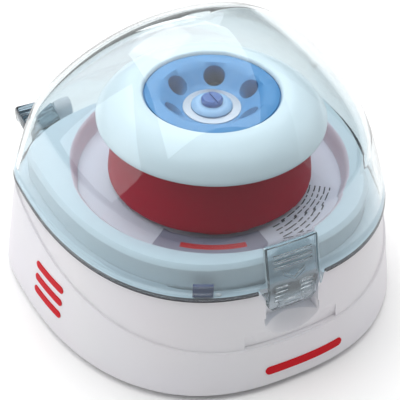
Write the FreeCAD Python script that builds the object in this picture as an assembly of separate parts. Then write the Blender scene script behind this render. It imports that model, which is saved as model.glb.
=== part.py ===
import FreeCAD, Part
import math
import os

os.makedirs("parts", exist_ok=True)

Vec = FreeCAD.Vector
X_AXIS = Vec(1, 0, 0)
Y_AXIS = Vec(0, 1, 0)
Z_AXIS = Vec(0, 0, 1)

# Overall plan of the body, in mm. The front faces -Y and the rotor turns about Z.
# The plan is two half superellipses that meet on the widest line, behind the rotor.
body_half_width = 76.0
front_reach = 71.8
back_reach = 67.0
widest_y = 26.0
front_power = 2.48
back_power = 2.05
plan_points = 40

# Heights above the table.
foot_stand = 1.6
edge_bevel = 1.5
seam_height = 44.8
lid_height = 110.8

# Housing.
wall = 2.6
draft_inset = 7.0
step_front_height = 20.3
step_slope = 12.1
step_setback = 0.7
ledge_thickness = 3.0
panel_half_width = 18.9
panel_bottom = 21.6
panel_top = 27.2
panel_depth = 0.15

# Fits.
sliding_gap = 0.3
part_gap = 0.1
running_gap = 0.05

# Chamber deck.
plinth_inset = 14.0
plinth_height = 54.6
plinth_wall = 2.2
flange_reach = 3.4
chamber_rim_radius = 52.6
chamber_floor_radius = 51.2
chamber_floor_height = 46.8
label_thickness = 0.2
shaft_opening_radius = 9.0

# Lid.
lid_wall = 2.4
rim_inset = 6.4
knee_inset = 13.9
knee_height = 70.5
dome_power = 1.11
dome_rounding = 0.57
apex_shift = 9.0
seal_height = 0.5

# Latch.
tab_half_width = 9.45
slit = 0.8
tab_top = 61.2
tab_bottom = 35.4
tab_corner = 1.6
notch_half_width = 12.6
notch_bottom = 29.0
notch_back = 2.3
rib_height = 0.45

# Interlock.
plunger_radius = 1.0
plunger_rise = 0.7
lug_radius = 1.2

# Latch hook and the catch it grips.
hook_reach = 1.7
hook_height = 1.8
hook_half_width = 4.5
catch_half_width = 5.0
catch_thickness = 2.0

# Magnet in the lid's rim.
magnet_width = 7.0
magnet_height = 3.9
magnet_thickness = 1.3
magnet_bearing = -28.8

# Hinge.
hinge_y = 62.6
hinge_z = 47.8
knuckle_radius = 4.2
pin_radius = 1.5
arm_inner_x = 42.0
arm_outer_x = 56.0
bracket_inner_x = 34.0

# Rotor.
cap_radius = 42.1
cap_edge_height = 74.4
cap_top_height = 85.0
cap_wall = 1.9
band_radius = 24.2
band_height = 83.7
bowl_radius = 19.3
bowl_floor_radius = 10.9
bowl_floor_height = 77.1
insert_wall = 1.6
socket_count = 6
socket_radius = 4.05
socket_wall = 1.0
socket_depth = 21.0
skirt_top_radius = 35.5
skirt_bottom_radius = 38.8
skirt_bottom_height = 48.5
skirt_wall = 1.4
boss_radius = 6.0
boss_bottom = 60.6
adapter_radius = 4.0
shaft_radius = 2.0
hub_radius = 7.6

# Drive.
motor_radius = 14.0
motor_bottom = 14.0
motor_top = 38.0
end_cap_height = 2.6
motor_nose_radius = 4.1
motor_nose_height = 2.4
bracket_radius = 25.0
bracket_thickness = 1.6
mount_radius = 20.0
damper_radius = 4.2
mount_screw_radius = 1.5

# Rear panel.
panel_y = 58.4
rear_panel_half_width = 36.0
rear_panel_low = 8.5
rear_panel_high = 27.5
rear_wall = 3.8
control_height = 18.0
switch_x = -21.0
inlet_x = 21.0
rocker_tilt = 8.0
switch_half_width = 9.5
switch_half_height = 6.5
bezel_stand = 1.4
barrel_radius = 5.4
jack_radius = 3.2
contact_radius = 1.05

# Fasteners and boards.
screw_radius = 1.5
screw_head_radius = 2.8
screw_head_height = 1.6
cover_thickness = 2.2
cover_bottom = foot_stand + 0.2
foot_radius = 6.5
board_height = 10.0
board_thickness = 1.6
board_width = 52.0
board_depth = 26.0
board_y = 30.0
board_margin = 4.0
board_screw_radius = 1.2
standoff_radius = 2.6


def polar(radius, degrees, z=0.0):
    """A point at a bearing measured from the front towards +X."""
    angle = math.radians(degrees)
    return Vec(radius * math.sin(angle), -radius * math.cos(angle), z)


def plan_excess(x, y, inset):
    """Below 1 inside the plan outline moved in by inset, above 1 outside it."""
    power = front_power if y < widest_y else back_power
    reach = front_reach + widest_y if y < widest_y else back_reach - widest_y
    across = abs(x) / (body_half_width - inset)
    along = abs(y - widest_y) / (reach - inset)
    return across ** power + along ** power


def plan_radius(degrees, inset):
    """Distance from the rotor axis to the plan outline, found by halving."""
    inside = 0.0
    outside = 2 * body_half_width
    for _ in range(40):
        middle = (inside + outside) / 2
        point = polar(middle, degrees)
        if plan_excess(point.x, point.y, inset) < 1.0:
            inside = middle
        else:
            outside = middle
    return inside


def plan_wire(inset, z, scale=1.0, shift_y=0.0):
    """Closed smooth outline at height z."""
    points = []
    for number in range(plan_points):
        bearing = 360.0 * number / plan_points
        point = polar(scale * plan_radius(bearing, inset), bearing, z)
        points.append(point + Vec(0, shift_y, 0))
    curve = Part.BSplineCurve()
    curve.interpolate(points, PeriodicFlag=True)
    return Part.Wire([curve.toShape()])


def plan_loft(sections):
    """Solid through plan outlines given as (inset, z) or (inset, z, scale, shift)."""
    wires = [plan_wire(*section) for section in sections]
    return Part.makeLoft(wires, True, True)


def box(low, high):
    """Box between two corners."""
    size = [high[i] - low[i] for i in range(3)]
    return Part.makeBox(size[0], size[1], size[2], Vec(*low))


def rod(radius, start, end):
    """Cylinder between two points."""
    direction = end - start
    return Part.makeCylinder(radius, direction.Length, start, direction)


def post(radius, spot, low, high):
    """Upright cylinder over a spot, between two heights."""
    return rod(radius, Vec(spot.x, spot.y, low), Vec(spot.x, spot.y, high))


def bar_along_y(radius, x, z, low_y, high_y):
    """Cylinder along Y through (x, z)."""
    return rod(radius, Vec(x, low_y, z), Vec(x, high_y, z))


def revolve(points):
    """Solid turned about Z from a closed half profile of (radius, z) points."""
    corners = [Vec(r, 0, z) for r, z in points]
    wire = Part.makePolygon(corners + [corners[0]])
    return Part.Face(wire).revolve(Vec(0, 0, 0), Z_AXIS, 360)


def revolve_edges(edges):
    """Solid turned about Z from edges that close a half profile."""
    return Part.Face(Part.Wire(Part.__sortEdges__(edges))).revolve(Vec(0, 0, 0), Z_AXIS, 360)


def arc(start, middle, end):
    """Arc through three (radius, z) points of a half profile."""
    points = [Vec(r, 0, z) for r, z in (start, middle, end)]
    return Part.Arc(*points).toShape()


def line(start, end):
    """Straight edge between two (radius, z) points of a half profile."""
    return Part.makeLine(Vec(start[0], 0, start[1]), Vec(end[0], 0, end[1]))


def prism_y(points, low_y, high_y):
    """Extrusion along Y of a closed (x, z) outline."""
    corners = [Vec(x, low_y, z) for x, z in points]
    face = Part.Face(Part.makePolygon(corners + [corners[0]]))
    return face.extrude(Vec(0, high_y - low_y, 0))


def fuse(shapes):
    """One shape from several that touch or overlap."""
    result = shapes[0]
    for shape in shapes[1:]:
        result = result.fuse(shape)
    return result.removeSplitter()


def turned(shape, degrees):
    """Copy of a shape built at the front, moved round the rotor axis."""
    copy = shape.copy()
    copy.rotate(Vec(0, 0, 0), Z_AXIS, degrees)
    return copy


def body_inset(z):
    """Inset of the drafted outer wall at a height."""
    return draft_inset * (z - foot_stand - edge_bevel) / (seam_height - foot_stand - edge_bevel)


def drafted(extra, low, high):
    """Solid that follows the drafted wall, moved in by extra."""
    return plan_loft([(body_inset(low) + extra, low), (body_inset(high) + extra, high)])


def lid_sections(inward, lower):
    """Sections of the lid's surface moved in by inward and down by lower."""
    top = lid_height - lower
    middle = ((rim_inset + knee_inset) / 2 + inward, (rim_bottom + knee_height) / 2)
    sections = [(rim_inset + inward, rim_bottom), middle, (knee_inset + inward, knee_height)]
    for share in (0.06, 0.14, 0.23, 0.33, 0.43, 0.53, 0.63, 0.72, 0.8, 0.87, 0.93, 0.97, 0.99):
        width = (1.0 - share ** dome_power) ** dome_rounding
        height = knee_height + (top - knee_height) * share
        sections.append((knee_inset + inward, height, width, apex_shift * share))
    return sections


rim_bottom = seam_height + seal_height + sliding_gap
body_low = foot_stand + edge_bevel
ledge_bottom = seam_height - ledge_thickness
inner_wall = wall + step_setback


def rim_solid(inward, low):
    """Skirt of the lid from a low edge to the knee, carried straight down below the rim."""
    top = (knee_inset + inward, knee_height)
    return plan_loft([(rim_inset + inward, low), (rim_inset + inward, rim_bottom), top])


def housing_outer():
    bevel = 1.4
    lower = plan_loft([(bevel, foot_stand), (0.0, body_low), (draft_inset, seam_height)])
    upper = plan_loft([(bevel + step_setback, foot_stand), (step_setback, body_low),
                       (draft_inset + step_setback, seam_height)])
    size = 3 * body_half_width
    wedge = box((-size, -size, -size), (size, size, step_front_height))
    wedge.rotate(Vec(0, -front_reach, step_front_height), X_AXIS, step_slope)
    return upper.fuse(lower.common(wedge))


def cover_boss_spots():
    return [polar(plan_radius(b, 8.6), b) for b in (-52, 52, 128, -128)]


def deck_screw_spots():
    inset = (body_inset(ledge_bottom) + inner_wall + plinth_inset) / 2
    return [polar(plan_radius(b, inset), b) for b in (-65, 65, 115, -115)]


def recess_back():
    """Back face of the latch notch, behind the tab's inner face."""
    return -(front_reach - rim_inset - lid_wall) + notch_back


def latch_recess():
    """Notch for the tab with the thumb dish under it."""
    front = -front_reach
    back = recess_back()
    throat = tab_half_width + slit + sliding_gap
    outline = [(-notch_half_width, seam_height + 1), (-throat, seam_height - 4.6),
               (-throat, notch_bottom), (throat, notch_bottom),
               (throat, seam_height - 4.6), (notch_half_width, seam_height + 1)]
    notch = prism_y(outline, front, back)
    dish_radius = 18.0
    dish = Part.makeSphere(dish_radius, Vec(0, back - dish_radius + 0.8, notch_bottom + 8.4))
    limit = box((-throat - 0.6, front - 5, 10), (throat + 0.6, back + 5, notch_bottom + 4))
    return notch.fuse(dish.common(limit))


def base_housing():
    outer = housing_outer()
    shell = outer.cut(housing_hollow())
    back = recess_back()
    latch_block = box((-15.5, -front_reach, panel_bottom - 7), (15.5, back + 2.6, ledge_bottom - 2.9))
    rear_block = box((-rear_panel_half_width - 2, panel_y - rear_wall, rear_panel_low - 2),
                     (rear_panel_half_width + 2, front_reach, rear_panel_high + 2))
    extras = [latch_block, rear_block]
    for spot in cover_boss_spots():
        low = cover_bottom + cover_thickness
        extras.append(post(4.2, spot, low, low + 24))
    inner_space = outer.common(fuse(extras))
    shell = shell.fuse(inner_space)
    opening = plan_loft([(plinth_inset - part_gap, ledge_bottom - 1),
                         (plinth_inset - part_gap, seam_height + 1)])
    shell = shell.cut(opening)
    shell = shell.cut(latch_recess())
    upright = body_inset(panel_top) + step_setback + panel_depth
    flat = plan_loft([(upright, body_low), (upright, seam_height)])
    panel = box((-panel_half_width, -front_reach - 2, panel_bottom),
                (panel_half_width, -front_reach / 2, panel_top)).cut(flat)
    shell = shell.cut(panel)
    rear = box((-rear_panel_half_width, panel_y, rear_panel_low),
               (rear_panel_half_width, front_reach + 2, rear_panel_high))
    shell = shell.cut(rear)
    inside_y = panel_y - rear_wall - 1
    shell = shell.cut(upright_box(switch_x, switch_half_width + part_gap, switch_half_height + part_gap,
                                  inside_y, panel_y + 1))
    shell = shell.cut(bar_along_y(barrel_radius + part_gap, inlet_x, control_height, inside_y, panel_y + 1))
    for spot in cover_boss_spots():
        low = cover_bottom + cover_thickness - 1
        shell = shell.cut(post(screw_radius, spot, low, low + 13))
    for spot in deck_screw_spots():
        shell = shell.cut(post(screw_radius, spot, ledge_bottom - 1, seam_height - 0.8))
    shell = shell.cut(plunger_bore())
    shell = shell.cut(catch_body())
    return shell.removeSplitter()


def bottom_cover():
    top = cover_bottom + cover_thickness
    plate = plan_loft([(inner_wall + part_gap, cover_bottom), (inner_wall + part_gap + 0.2, top)])
    for spot in cover_boss_spots():
        plate = plate.cut(post(screw_radius + part_gap, spot, 0, top + 1))
        plate = plate.cut(post(screw_head_radius + part_gap, spot, 0, cover_bottom + screw_head_height / 2))
    for number in range(7):
        x = (number - 3) * 8.0
        slot = box((x - 1.5, -11, 0), (x + 1.5, 11, top + 1))
        plate = plate.cut(slot)
    return plate


def foot_spots():
    return [polar(plan_radius(b, 15.0), b) for b in (-38, 38, 142, -142)]


def rubber_feet():
    feet = []
    for spot in foot_spots():
        ground = post(foot_radius, spot, 0, cover_bottom)
        edges = [e for e in ground.Edges if abs(e.BoundBox.ZMax) < 0.01]
        feet.append(ground.makeChamfer(0.6, edges))
    return Part.Compound(feet)


def cover_screws():
    screws = []
    for spot in cover_boss_spots():
        seat = cover_bottom + screw_head_height / 2
        head = post(screw_head_radius, spot, seat - screw_head_height + 0.9, seat)
        shank = post(screw_radius - 0.02, spot, seat, seat + 11)
        screws.append(head.fuse(shank))
    return Part.Compound(screws)


def chamber_deck():
    flange_top = ledge_bottom
    flange_low = flange_top - 2.3
    bevel = 1.5
    outer = plan_loft([(plinth_inset, flange_low), (plinth_inset, plinth_height - bevel),
                       (plinth_inset + bevel, plinth_height)])
    inner = plan_loft([(plinth_inset + plinth_wall, flange_low - 1),
                       (plinth_inset + plinth_wall, plinth_height - plinth_wall)])
    flange_inset = plinth_inset - flange_reach
    flange = plan_loft([(flange_inset, flange_low), (flange_inset, flange_top)])
    flange = flange.cut(box((-34, -front_reach, 0), (34, -front_reach / 2, 90)))
    under = chamber_floor_height - plinth_wall
    bowl = revolve([(0, under), (chamber_floor_radius + 1.2, under),
                    (chamber_rim_radius + 2.2, plinth_height - 1), (0, plinth_height - 1)])
    deck = outer.fuse(flange).cut(inner).fuse(bowl)
    chamber = revolve([(0, chamber_floor_height), (chamber_floor_radius - 0.6, chamber_floor_height),
                       (chamber_floor_radius, chamber_floor_height + 0.8),
                       (chamber_rim_radius - 0.7, plinth_height - 1.0),
                       (chamber_rim_radius + 0.5, plinth_height + 0.2),
                       (chamber_rim_radius + 0.5, plinth_height + 9), (0, plinth_height + 9)])
    deck = deck.cut(chamber)
    deck = deck.cut(rod(shaft_opening_radius, Vec(0, 0, under - 1), Vec(0, 0, plinth_height)))
    for spot in deck_screw_spots():
        deck = deck.cut(post(screw_radius, spot, flange_low - 1, flange_top + 1))
    for spot in mount_spots():
        deck = deck.cut(post(mount_screw_radius, spot, under - 1, under + 1.5))
    return deck.removeSplitter()


def deck_screws():
    screws = []
    for spot in deck_screw_spots():
        seat = ledge_bottom - 2.3
        head = post(screw_head_radius - 0.4, spot, seat - screw_head_height, seat)
        shank = post(screw_radius - 0.02, spot, seat, seat + 3.9)
        screws.append(head.fuse(shank))
    return Part.Compound(screws)


def lid_magnet():
    """Dark block in the lid's rim, against the inner face of its wall."""
    low = rim_bottom + part_gap
    outer = rim_solid(lid_wall + part_gap, rim_bottom - 1)
    inner = rim_solid(lid_wall + part_gap + magnet_thickness, rim_bottom - 2)
    strip = outer.cut(inner)
    tool = box((-magnet_width / 2, -body_half_width - front_reach, low),
               (magnet_width / 2, 0, low + magnet_height))
    return strip.common(turned(tool, magnet_bearing))


def ring_label():
    low = chamber_floor_height
    ring = rod(chamber_floor_radius - 0.8, Vec(0, 0, low), Vec(0, 0, low + label_thickness))
    return ring.cut(rod(36.0, Vec(0, 0, low - 1), Vec(0, 0, low + 1)))


def label_block():
    """Dark warning patch lying on the ring label at the front."""
    low = chamber_floor_height + label_thickness
    ring = rod(chamber_floor_radius - 1.0, Vec(0, 0, low), Vec(0, 0, low + 0.15))
    ring = ring.cut(rod(37.5, Vec(0, 0, low - 1), Vec(0, 0, low + 1)))
    sector = Part.makeCylinder(60, 10, Vec(0, 0, low - 5), Z_AXIS, 62)
    sector.rotate(Vec(0, 0, 0), Z_AXIS, 203)
    return ring.common(sector)


def shaft_seal():
    low = chamber_floor_height - plinth_wall
    top = chamber_floor_height + 0.8
    inner = shaft_radius + 1.0
    return revolve([(inner, low), (shaft_opening_radius, low), (shaft_opening_radius, chamber_floor_height),
                    (shaft_opening_radius - 1.5, top), (inner, top)])


def lid_seal():
    low = seam_height
    outer = plan_loft([(rim_inset + 1.7, low), (rim_inset + 1.7, low + seal_height)])
    inner = plan_loft([(rim_inset + 3.8, low - 1), (rim_inset + 3.8, low + seal_height + 1)])
    strip = outer.cut(inner)
    return strip.cut(box((-notch_half_width - 1, -front_reach, 0), (notch_half_width + 1, -30, 90)))


def catch_body():
    back = recess_back()
    low = tab_bottom + hook_height + part_gap + 0.4
    return box((-catch_half_width, back - 1.3, low), (catch_half_width, back + 1.8, low + catch_thickness))


def latch_catch():
    body = catch_body()
    lead = [e for e in body.Edges if abs(e.BoundBox.YMax - body.BoundBox.YMin) < 0.01
            and e.BoundBox.ZMin > body.BoundBox.ZMax - 0.01]
    return body.makeChamfer(0.7, lead)


def plunger_spot():
    bearing = -24.0
    return polar(plan_radius(bearing, plinth_inset - 2.4), bearing)


def plunger_bore():
    spot = plunger_spot()
    return post(plunger_radius + running_gap, spot, ledge_bottom - 1, seam_height + 1)


def interlock_plunger():
    spot = plunger_spot()
    stem = post(plunger_radius, spot, ledge_bottom - 6.0, seam_height + plunger_rise)
    edges = [e for e in stem.Edges if e.BoundBox.ZMin > seam_height]
    stem = stem.makeChamfer(0.3, edges)
    collar = post(plunger_radius + 0.8, spot, ledge_bottom - 4.2, ledge_bottom - 3.2)
    return stem.fuse(collar).removeSplitter()


def interlock_switch():
    """Micro switch under the plunger, hung from the housing's front wall."""
    spot = plunger_spot()
    top = ledge_bottom - 8.8
    body = box((spot.x - 5, spot.y - 3.0, top - 7), (spot.x + 5, spot.y + 3.4, top))
    lever = box((spot.x - 4.5, spot.y - 1.6, top), (spot.x + 3.5, spot.y + 1.6, top + 0.4))
    blades = [box((spot.x + x - 0.4, spot.y - 1.2, top - 10), (spot.x + x + 0.4, spot.y + 1.2, top - 7))
              for x in (-3.5, 0, 3.5)]
    hanger = box((spot.x - 5, spot.y - 8.6, top - 6), (spot.x + 5, spot.y - 3.0, top - 2))
    body = fuse([body, lever, hanger] + blades)
    return body.common(housing_hollow())


def housing_hollow():
    return plan_loft([(inner_wall, foot_stand - 0.5), (inner_wall, body_low),
                      (body_inset(ledge_bottom) + inner_wall, ledge_bottom)])


def hinge_arm(side):
    """Arm of the lid from its back corner to the knuckle."""
    low_x = min(side * arm_inner_x, side * arm_outer_x)
    high_x = max(side * arm_inner_x, side * arm_outer_x)
    start_y = hinge_y - 22
    arm = box((low_x, start_y, rim_bottom), (high_x, hinge_y, hinge_z + knuckle_radius))
    barrel = rod(knuckle_radius, Vec(low_x, hinge_y, hinge_z), Vec(high_x, hinge_y, hinge_z))
    return arm.fuse(barrel)


def lid_lug():
    """Small post on the lid's inner face that stands over the interlock plunger."""
    bearing = -24.0
    low = seam_height + plunger_rise + sliding_gap
    near = polar(plan_radius(bearing, rim_inset + lid_wall / 2), bearing)
    spot = plunger_spot()
    stub = post(lug_radius, spot, low, low + 7)
    web = box((-0.8, -near.Length, low), (0.8, -spot.Length, low + 7))
    return stub.fuse(turned(web, bearing))


def lid_dome():
    outer = plan_loft(lid_sections(0.0, 0.0))
    inner = plan_loft(lid_sections(lid_wall, lid_wall))
    arms = fuse([hinge_arm(-1), hinge_arm(1)])
    lid = outer.fuse(arms).cut(inner).fuse(lid_lug().common(outer))
    window = tab_half_width + slit
    lid = lid.cut(box((-window, -front_reach - 5, 0), (window, -front_reach / 2, tab_top + sliding_gap)))
    ear_shell = rim_solid(0.0, seam_height - 4).cut(rim_solid(lid_wall, seam_height - 5))
    for side in (-1, 1):
        outline = [(side * window, rim_bottom), (side * (notch_half_width - 0.9), rim_bottom),
                   (side * window, seam_height - 3.2)]
        lid = lid.fuse(ear_shell.common(prism_y(outline, -front_reach, -40)))
    hole = rod(pin_radius + running_gap, Vec(-90, hinge_y, hinge_z), Vec(90, hinge_y, hinge_z))
    return lid.cut(hole).removeSplitter()


def latch_tab():
    """Flexing front tab with grip ribs and an inward hook."""
    shell = rim_solid(0.0, tab_bottom).cut(rim_solid(lid_wall, tab_bottom - 1))
    corner = tab_half_width - tab_corner
    outline = [(-corner, tab_bottom), (corner, tab_bottom), (tab_half_width, tab_bottom + tab_corner),
               (tab_half_width, tab_top), (-tab_half_width, tab_top),
               (-tab_half_width, tab_bottom + tab_corner)]
    tab = shell.common(prism_y(outline, -front_reach, -40))
    rib_zone = rim_solid(-rib_height, tab_bottom).cut(rim_solid(0.6, tab_bottom - 1))
    long_half = tab_half_width - 1.9
    ribs = []
    for z in (57.6, 55.4, 53.2):
        ribs.append(box((-long_half, -front_reach - 2, z), (long_half, -40, z + 0.7)))
    for z in (45.6, 43.6, 41.6, 39.6):
        for side in (-1, 1):
            ends = sorted((side * 2.6, side * long_half))
            ribs.append(box((ends[0], -front_reach - 2, z), (ends[1], -40, z + 0.7)))
    ribs.append(box((-long_half + 1.2, -front_reach - 2, 36.6), (long_half - 1.2, -40, 37.5)))
    for side in (-1, 1):
        outline = [(0, 47.6), (side * 4.2, 50.4), (side * 4.2, 51.6), (0, 48.8)]
        ribs.append(prism_y(outline, -front_reach - 2, -40))
    ribs = rib_zone.common(fuse(ribs))
    inner_face = -(front_reach - rim_inset - lid_wall)
    root = inner_face - 0.6
    tip = inner_face + hook_reach
    hook = prism_yz([(root, tab_bottom), (inner_face, tab_bottom), (tip, tab_bottom + hook_height - 0.6),
                     (tip, tab_bottom + hook_height), (root, tab_bottom + hook_height)],
                    -hook_half_width, hook_half_width)
    return fuse([tab, ribs, hook])


def prism_yz(points, low_x, high_x):
    """Extrusion along X of a closed (y, z) outline."""
    corners = [Vec(low_x, y, z) for y, z in points]
    face = Part.Face(Part.makePolygon(corners + [corners[0]]))
    return face.extrude(Vec(high_x - low_x, 0, 0))


def hinge_bracket(side):
    low_x = min(side * bracket_inner_x, side * (arm_inner_x - 0.5))
    high_x = max(side * bracket_inner_x, side * (arm_inner_x - 0.5))
    shelf = seam_height - 0.4
    profile = [(hinge_y - 12, hinge_z - 17), (hinge_y + 0.5, hinge_z - 17), (hinge_y + 3.4, hinge_z - 8),
               (hinge_y + knuckle_radius, hinge_z), (hinge_y - knuckle_radius, hinge_z),
               (hinge_y - knuckle_radius, shelf), (hinge_y - 12, shelf)]
    foot = prism_yz(profile, low_x, high_x)
    barrel = rod(knuckle_radius, Vec(low_x, hinge_y, hinge_z), Vec(high_x, hinge_y, hinge_z))
    bracket = foot.fuse(barrel)
    bracket = bracket.cut(housing_outer())
    bore = rod(pin_radius, Vec(low_x - 1, hinge_y, hinge_z), Vec(high_x + 1, hinge_y, hinge_z))
    return bracket.cut(bore).removeSplitter()


def hinge_pins():
    pins = []
    for side in (-1, 1):
        pin = rod(pin_radius, Vec(side * (bracket_inner_x + 1), hinge_y, hinge_z),
                  Vec(side * (arm_outer_x - 1.0), hinge_y, hinge_z))
        pins.append(pin)
    return Part.Compound(pins)


def rotor_cap():
    """White mushroom shell over the tubes."""
    edge = (cap_radius, cap_edge_height + 0.6)
    under = cap_edge_height
    inner_radius = cap_radius - cap_wall
    shoulder = (cap_radius - 4.4, cap_top_height - 3.6)
    crown = (band_radius + 6.6, cap_top_height)
    lip = (band_radius + 0.9, cap_top_height - 0.2)
    seat = (band_radius + 0.15, band_height - 0.8)
    inner_crown = (band_radius + 6.2, band_height - 0.8)
    inner_shoulder = (cap_radius - 6.3, cap_top_height - 5.4)
    edges = [arc(edge, shoulder, crown), line(crown, lip), line(lip, seat), line(seat, inner_crown),
             arc(inner_crown, inner_shoulder, (inner_radius, under + 1.0)),
             line((inner_radius, under + 1.0), (inner_radius - 1.4, under + 1.0)),
             line((inner_radius - 1.4, under + 1.0), (inner_radius - 1.4, under)),
             line((inner_radius - 1.4, under), (cap_radius - 0.6, under)),
             line((cap_radius - 0.6, under), edge)]
    return revolve_edges(edges)


def rotor_skirt():
    """Red cone that hangs under the cap."""
    top = cap_edge_height
    low = skirt_bottom_height
    flange = cap_radius - cap_wall - 0.8
    return revolve([(flange, top), (flange, top - 1.4), (skirt_top_radius, top - 1.4),
                    (skirt_bottom_radius, low + 2.6), (skirt_bottom_radius, low + 1.4),
                    (skirt_bottom_radius - 1.4, low), (skirt_bottom_radius - 5, low),
                    (skirt_bottom_radius - 5, low + 1.3), (skirt_bottom_radius - skirt_wall, low + 1.7),
                    (skirt_top_radius - skirt_wall, top - 0.7), (skirt_top_radius - skirt_wall, top)])


def socket_frame():
    """Mouth centre and outward direction of the socket at the front."""
    slope = math.atan2(band_height - bowl_floor_height, bowl_radius - bowl_floor_radius)
    middle = Vec(0, -(bowl_radius + bowl_floor_radius) / 2, (band_height + bowl_floor_height) / 2)
    down = Vec(0, -math.sin(slope), -math.cos(slope))
    return middle, down


def rotor_insert():
    """Blue insert: band, bowl and the six tube sockets."""
    middle, down = socket_frame()
    top = band_height
    floor = bowl_floor_height
    shell = revolve([(adapter_radius, floor), (bowl_floor_radius, floor), (bowl_radius, top),
                     (band_radius, top), (band_radius, top - 0.8), (band_radius + 4, top - 0.8),
                     (band_radius + 4, top - 2.2), (bowl_radius + 1.2, top - 2.2),
                     (bowl_floor_radius + 1, floor - insert_wall), (boss_radius, floor - insert_wall),
                     (boss_radius, boss_bottom), (adapter_radius, boss_bottom)])
    tubes = []
    bores = []
    for number in range(socket_count):
        bearing = 360.0 * (number + 0.5) / socket_count
        tube = rod(socket_radius + socket_wall, middle, middle + down * (socket_depth + socket_wall))
        bore = rod(socket_radius, middle - down * 12, middle + down * socket_depth)
        tubes.append(turned(tube, bearing))
        bores.append(turned(bore, bearing))
    space = revolve([(0, floor), (bowl_floor_radius, floor), (bowl_radius, top),
                     (bowl_radius, top + 9), (0, top + 9)])
    insert = fuse([shell] + tubes).cut(space)
    for bore in bores:
        insert = insert.cut(bore)
    hollow = rod(adapter_radius, Vec(0, 0, boss_bottom - 1), Vec(0, 0, floor + 1))
    return insert.cut(hollow).removeSplitter()


def rotor_floor_ring():
    low = bowl_floor_height
    return revolve([(hub_radius + 0.1, low), (bowl_floor_radius - 0.3, low),
                    (bowl_floor_radius - 0.3, low + 0.3), (hub_radius + 0.1, low + 0.5)])


def rotor_hub():
    low = bowl_floor_height
    edges = [line((2.0, low), (hub_radius, low)), line((hub_radius, low), (hub_radius, low + 1.0)),
             arc((hub_radius, low + 1.0), (6.2, low + 2.0), (4.0, low + 2.3)),
             line((4.0, low + 2.3), (2.0, low + 2.3)), line((2.0, low + 2.3), (2.0, low))]
    return revolve_edges(edges)


def rotor_knob():
    """Dark locking nut at the centre of the hub."""
    low = bowl_floor_height + 2.3
    nut = revolve([(0, low), (4.0, low), (4.0, low + 1.2), (3.3, low + 2.0), (0, low + 2.0)])
    slot = box((-0.5, -5, low + 1.3), (0.5, 5, low + 4))
    return nut.cut(slot)


def drive_adapter():
    top = bowl_floor_height
    return revolve([(shaft_radius, boss_bottom - 6), (boss_radius - 0.5, boss_bottom - 6),
                    (boss_radius - 0.5, boss_bottom), (adapter_radius, boss_bottom), (adapter_radius, top),
                    (shaft_radius, top)])


def drive_shaft():
    return rod(shaft_radius, Vec(0, 0, motor_bottom + 4), Vec(0, 0, bowl_floor_height + 1.8))


def motor_can():
    bore = shaft_radius + running_gap
    nose_top = motor_top + motor_nose_height
    return revolve([(bore, motor_bottom + 3), (bore, nose_top), (motor_nose_radius, nose_top),
                    (motor_nose_radius, motor_top), (motor_radius - 1, motor_top),
                    (motor_radius, motor_top - 1), (motor_radius, motor_bottom),
                    (bore + 2, motor_bottom), (bore + 2, motor_bottom + 3)])


def motor_end_cap():
    low = motor_bottom - end_cap_height
    cap = rod(motor_radius - 1.5, Vec(0, 0, low), Vec(0, 0, motor_bottom))
    terminals = [box((x - 1.2, 8.5, low - 2.4), (x + 1.2, 9.1, low)) for x in (-6, 6)]
    return fuse([cap] + terminals)


def mount_spots():
    return [polar(mount_radius, b) for b in (45, 135, 225, 315)]


def motor_bracket():
    low = motor_top
    plate = rod(bracket_radius, Vec(0, 0, low), Vec(0, 0, low + bracket_thickness))
    plate = plate.cut(rod(motor_nose_radius + part_gap, Vec(0, 0, low - 1), Vec(0, 0, low + 5)))
    for spot in mount_spots():
        plate = plate.cut(post(mount_screw_radius, spot, low - 1, low + 5))
    for bearing in (0, 90, 180, 270):
        plate = plate.cut(post(6.0, polar(bracket_radius + 2, bearing), low - 1, low + 5))
    return plate


def motor_dampers():
    dampers = []
    low = motor_top + bracket_thickness
    top = chamber_floor_height - plinth_wall
    for spot in mount_spots():
        ring = post(damper_radius, spot, low, top)
        groove = post(damper_radius + 1, spot, low + 1.4, top - 1.4)
        groove = groove.cut(post(damper_radius - 0.9, spot, low, top))
        ring = ring.cut(groove)
        dampers.append(ring.cut(post(mount_screw_radius, spot, low - 1, top + 1)))
    return Part.Compound(dampers)


def motor_screws():
    screws = []
    top = chamber_floor_height - plinth_wall
    for spot in mount_spots():
        head = post(2.7, spot, motor_top - 1.6, motor_top)
        shank = post(mount_screw_radius - 0.02, spot, motor_top, top + 1.3)
        screws.append(head.fuse(shank))
    return Part.Compound(screws)


def board_spots():
    half_x = board_width / 2 - board_margin
    half_y = board_depth / 2 - board_margin
    return [Vec(x, board_y + y, 0) for x in (-half_x, half_x) for y in (-half_y, half_y)]


def control_board():
    board = box((-board_width / 2, board_y - board_depth / 2, board_height),
                (board_width / 2, board_y + board_depth / 2, board_height + board_thickness))
    for spot in board_spots():
        board = board.cut(post(board_screw_radius, spot, board_height - 1, board_height + 5))
    return board


def board_standoffs():
    low = cover_bottom + cover_thickness
    sleeves = []
    for spot in board_spots():
        sleeve = post(standoff_radius, spot, low, board_height)
        sleeves.append(sleeve.cut(post(board_screw_radius, spot, low - 1, board_height + 1)))
    return Part.Compound(sleeves)


def board_screws():
    top = board_height + board_thickness
    screws = []
    for spot in board_spots():
        head = post(standoff_radius - 0.4, spot, top, top + 1.2)
        screws.append(head.fuse(post(board_screw_radius - 0.02, spot, top - 5, top)))
    return Part.Compound(screws)


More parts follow.
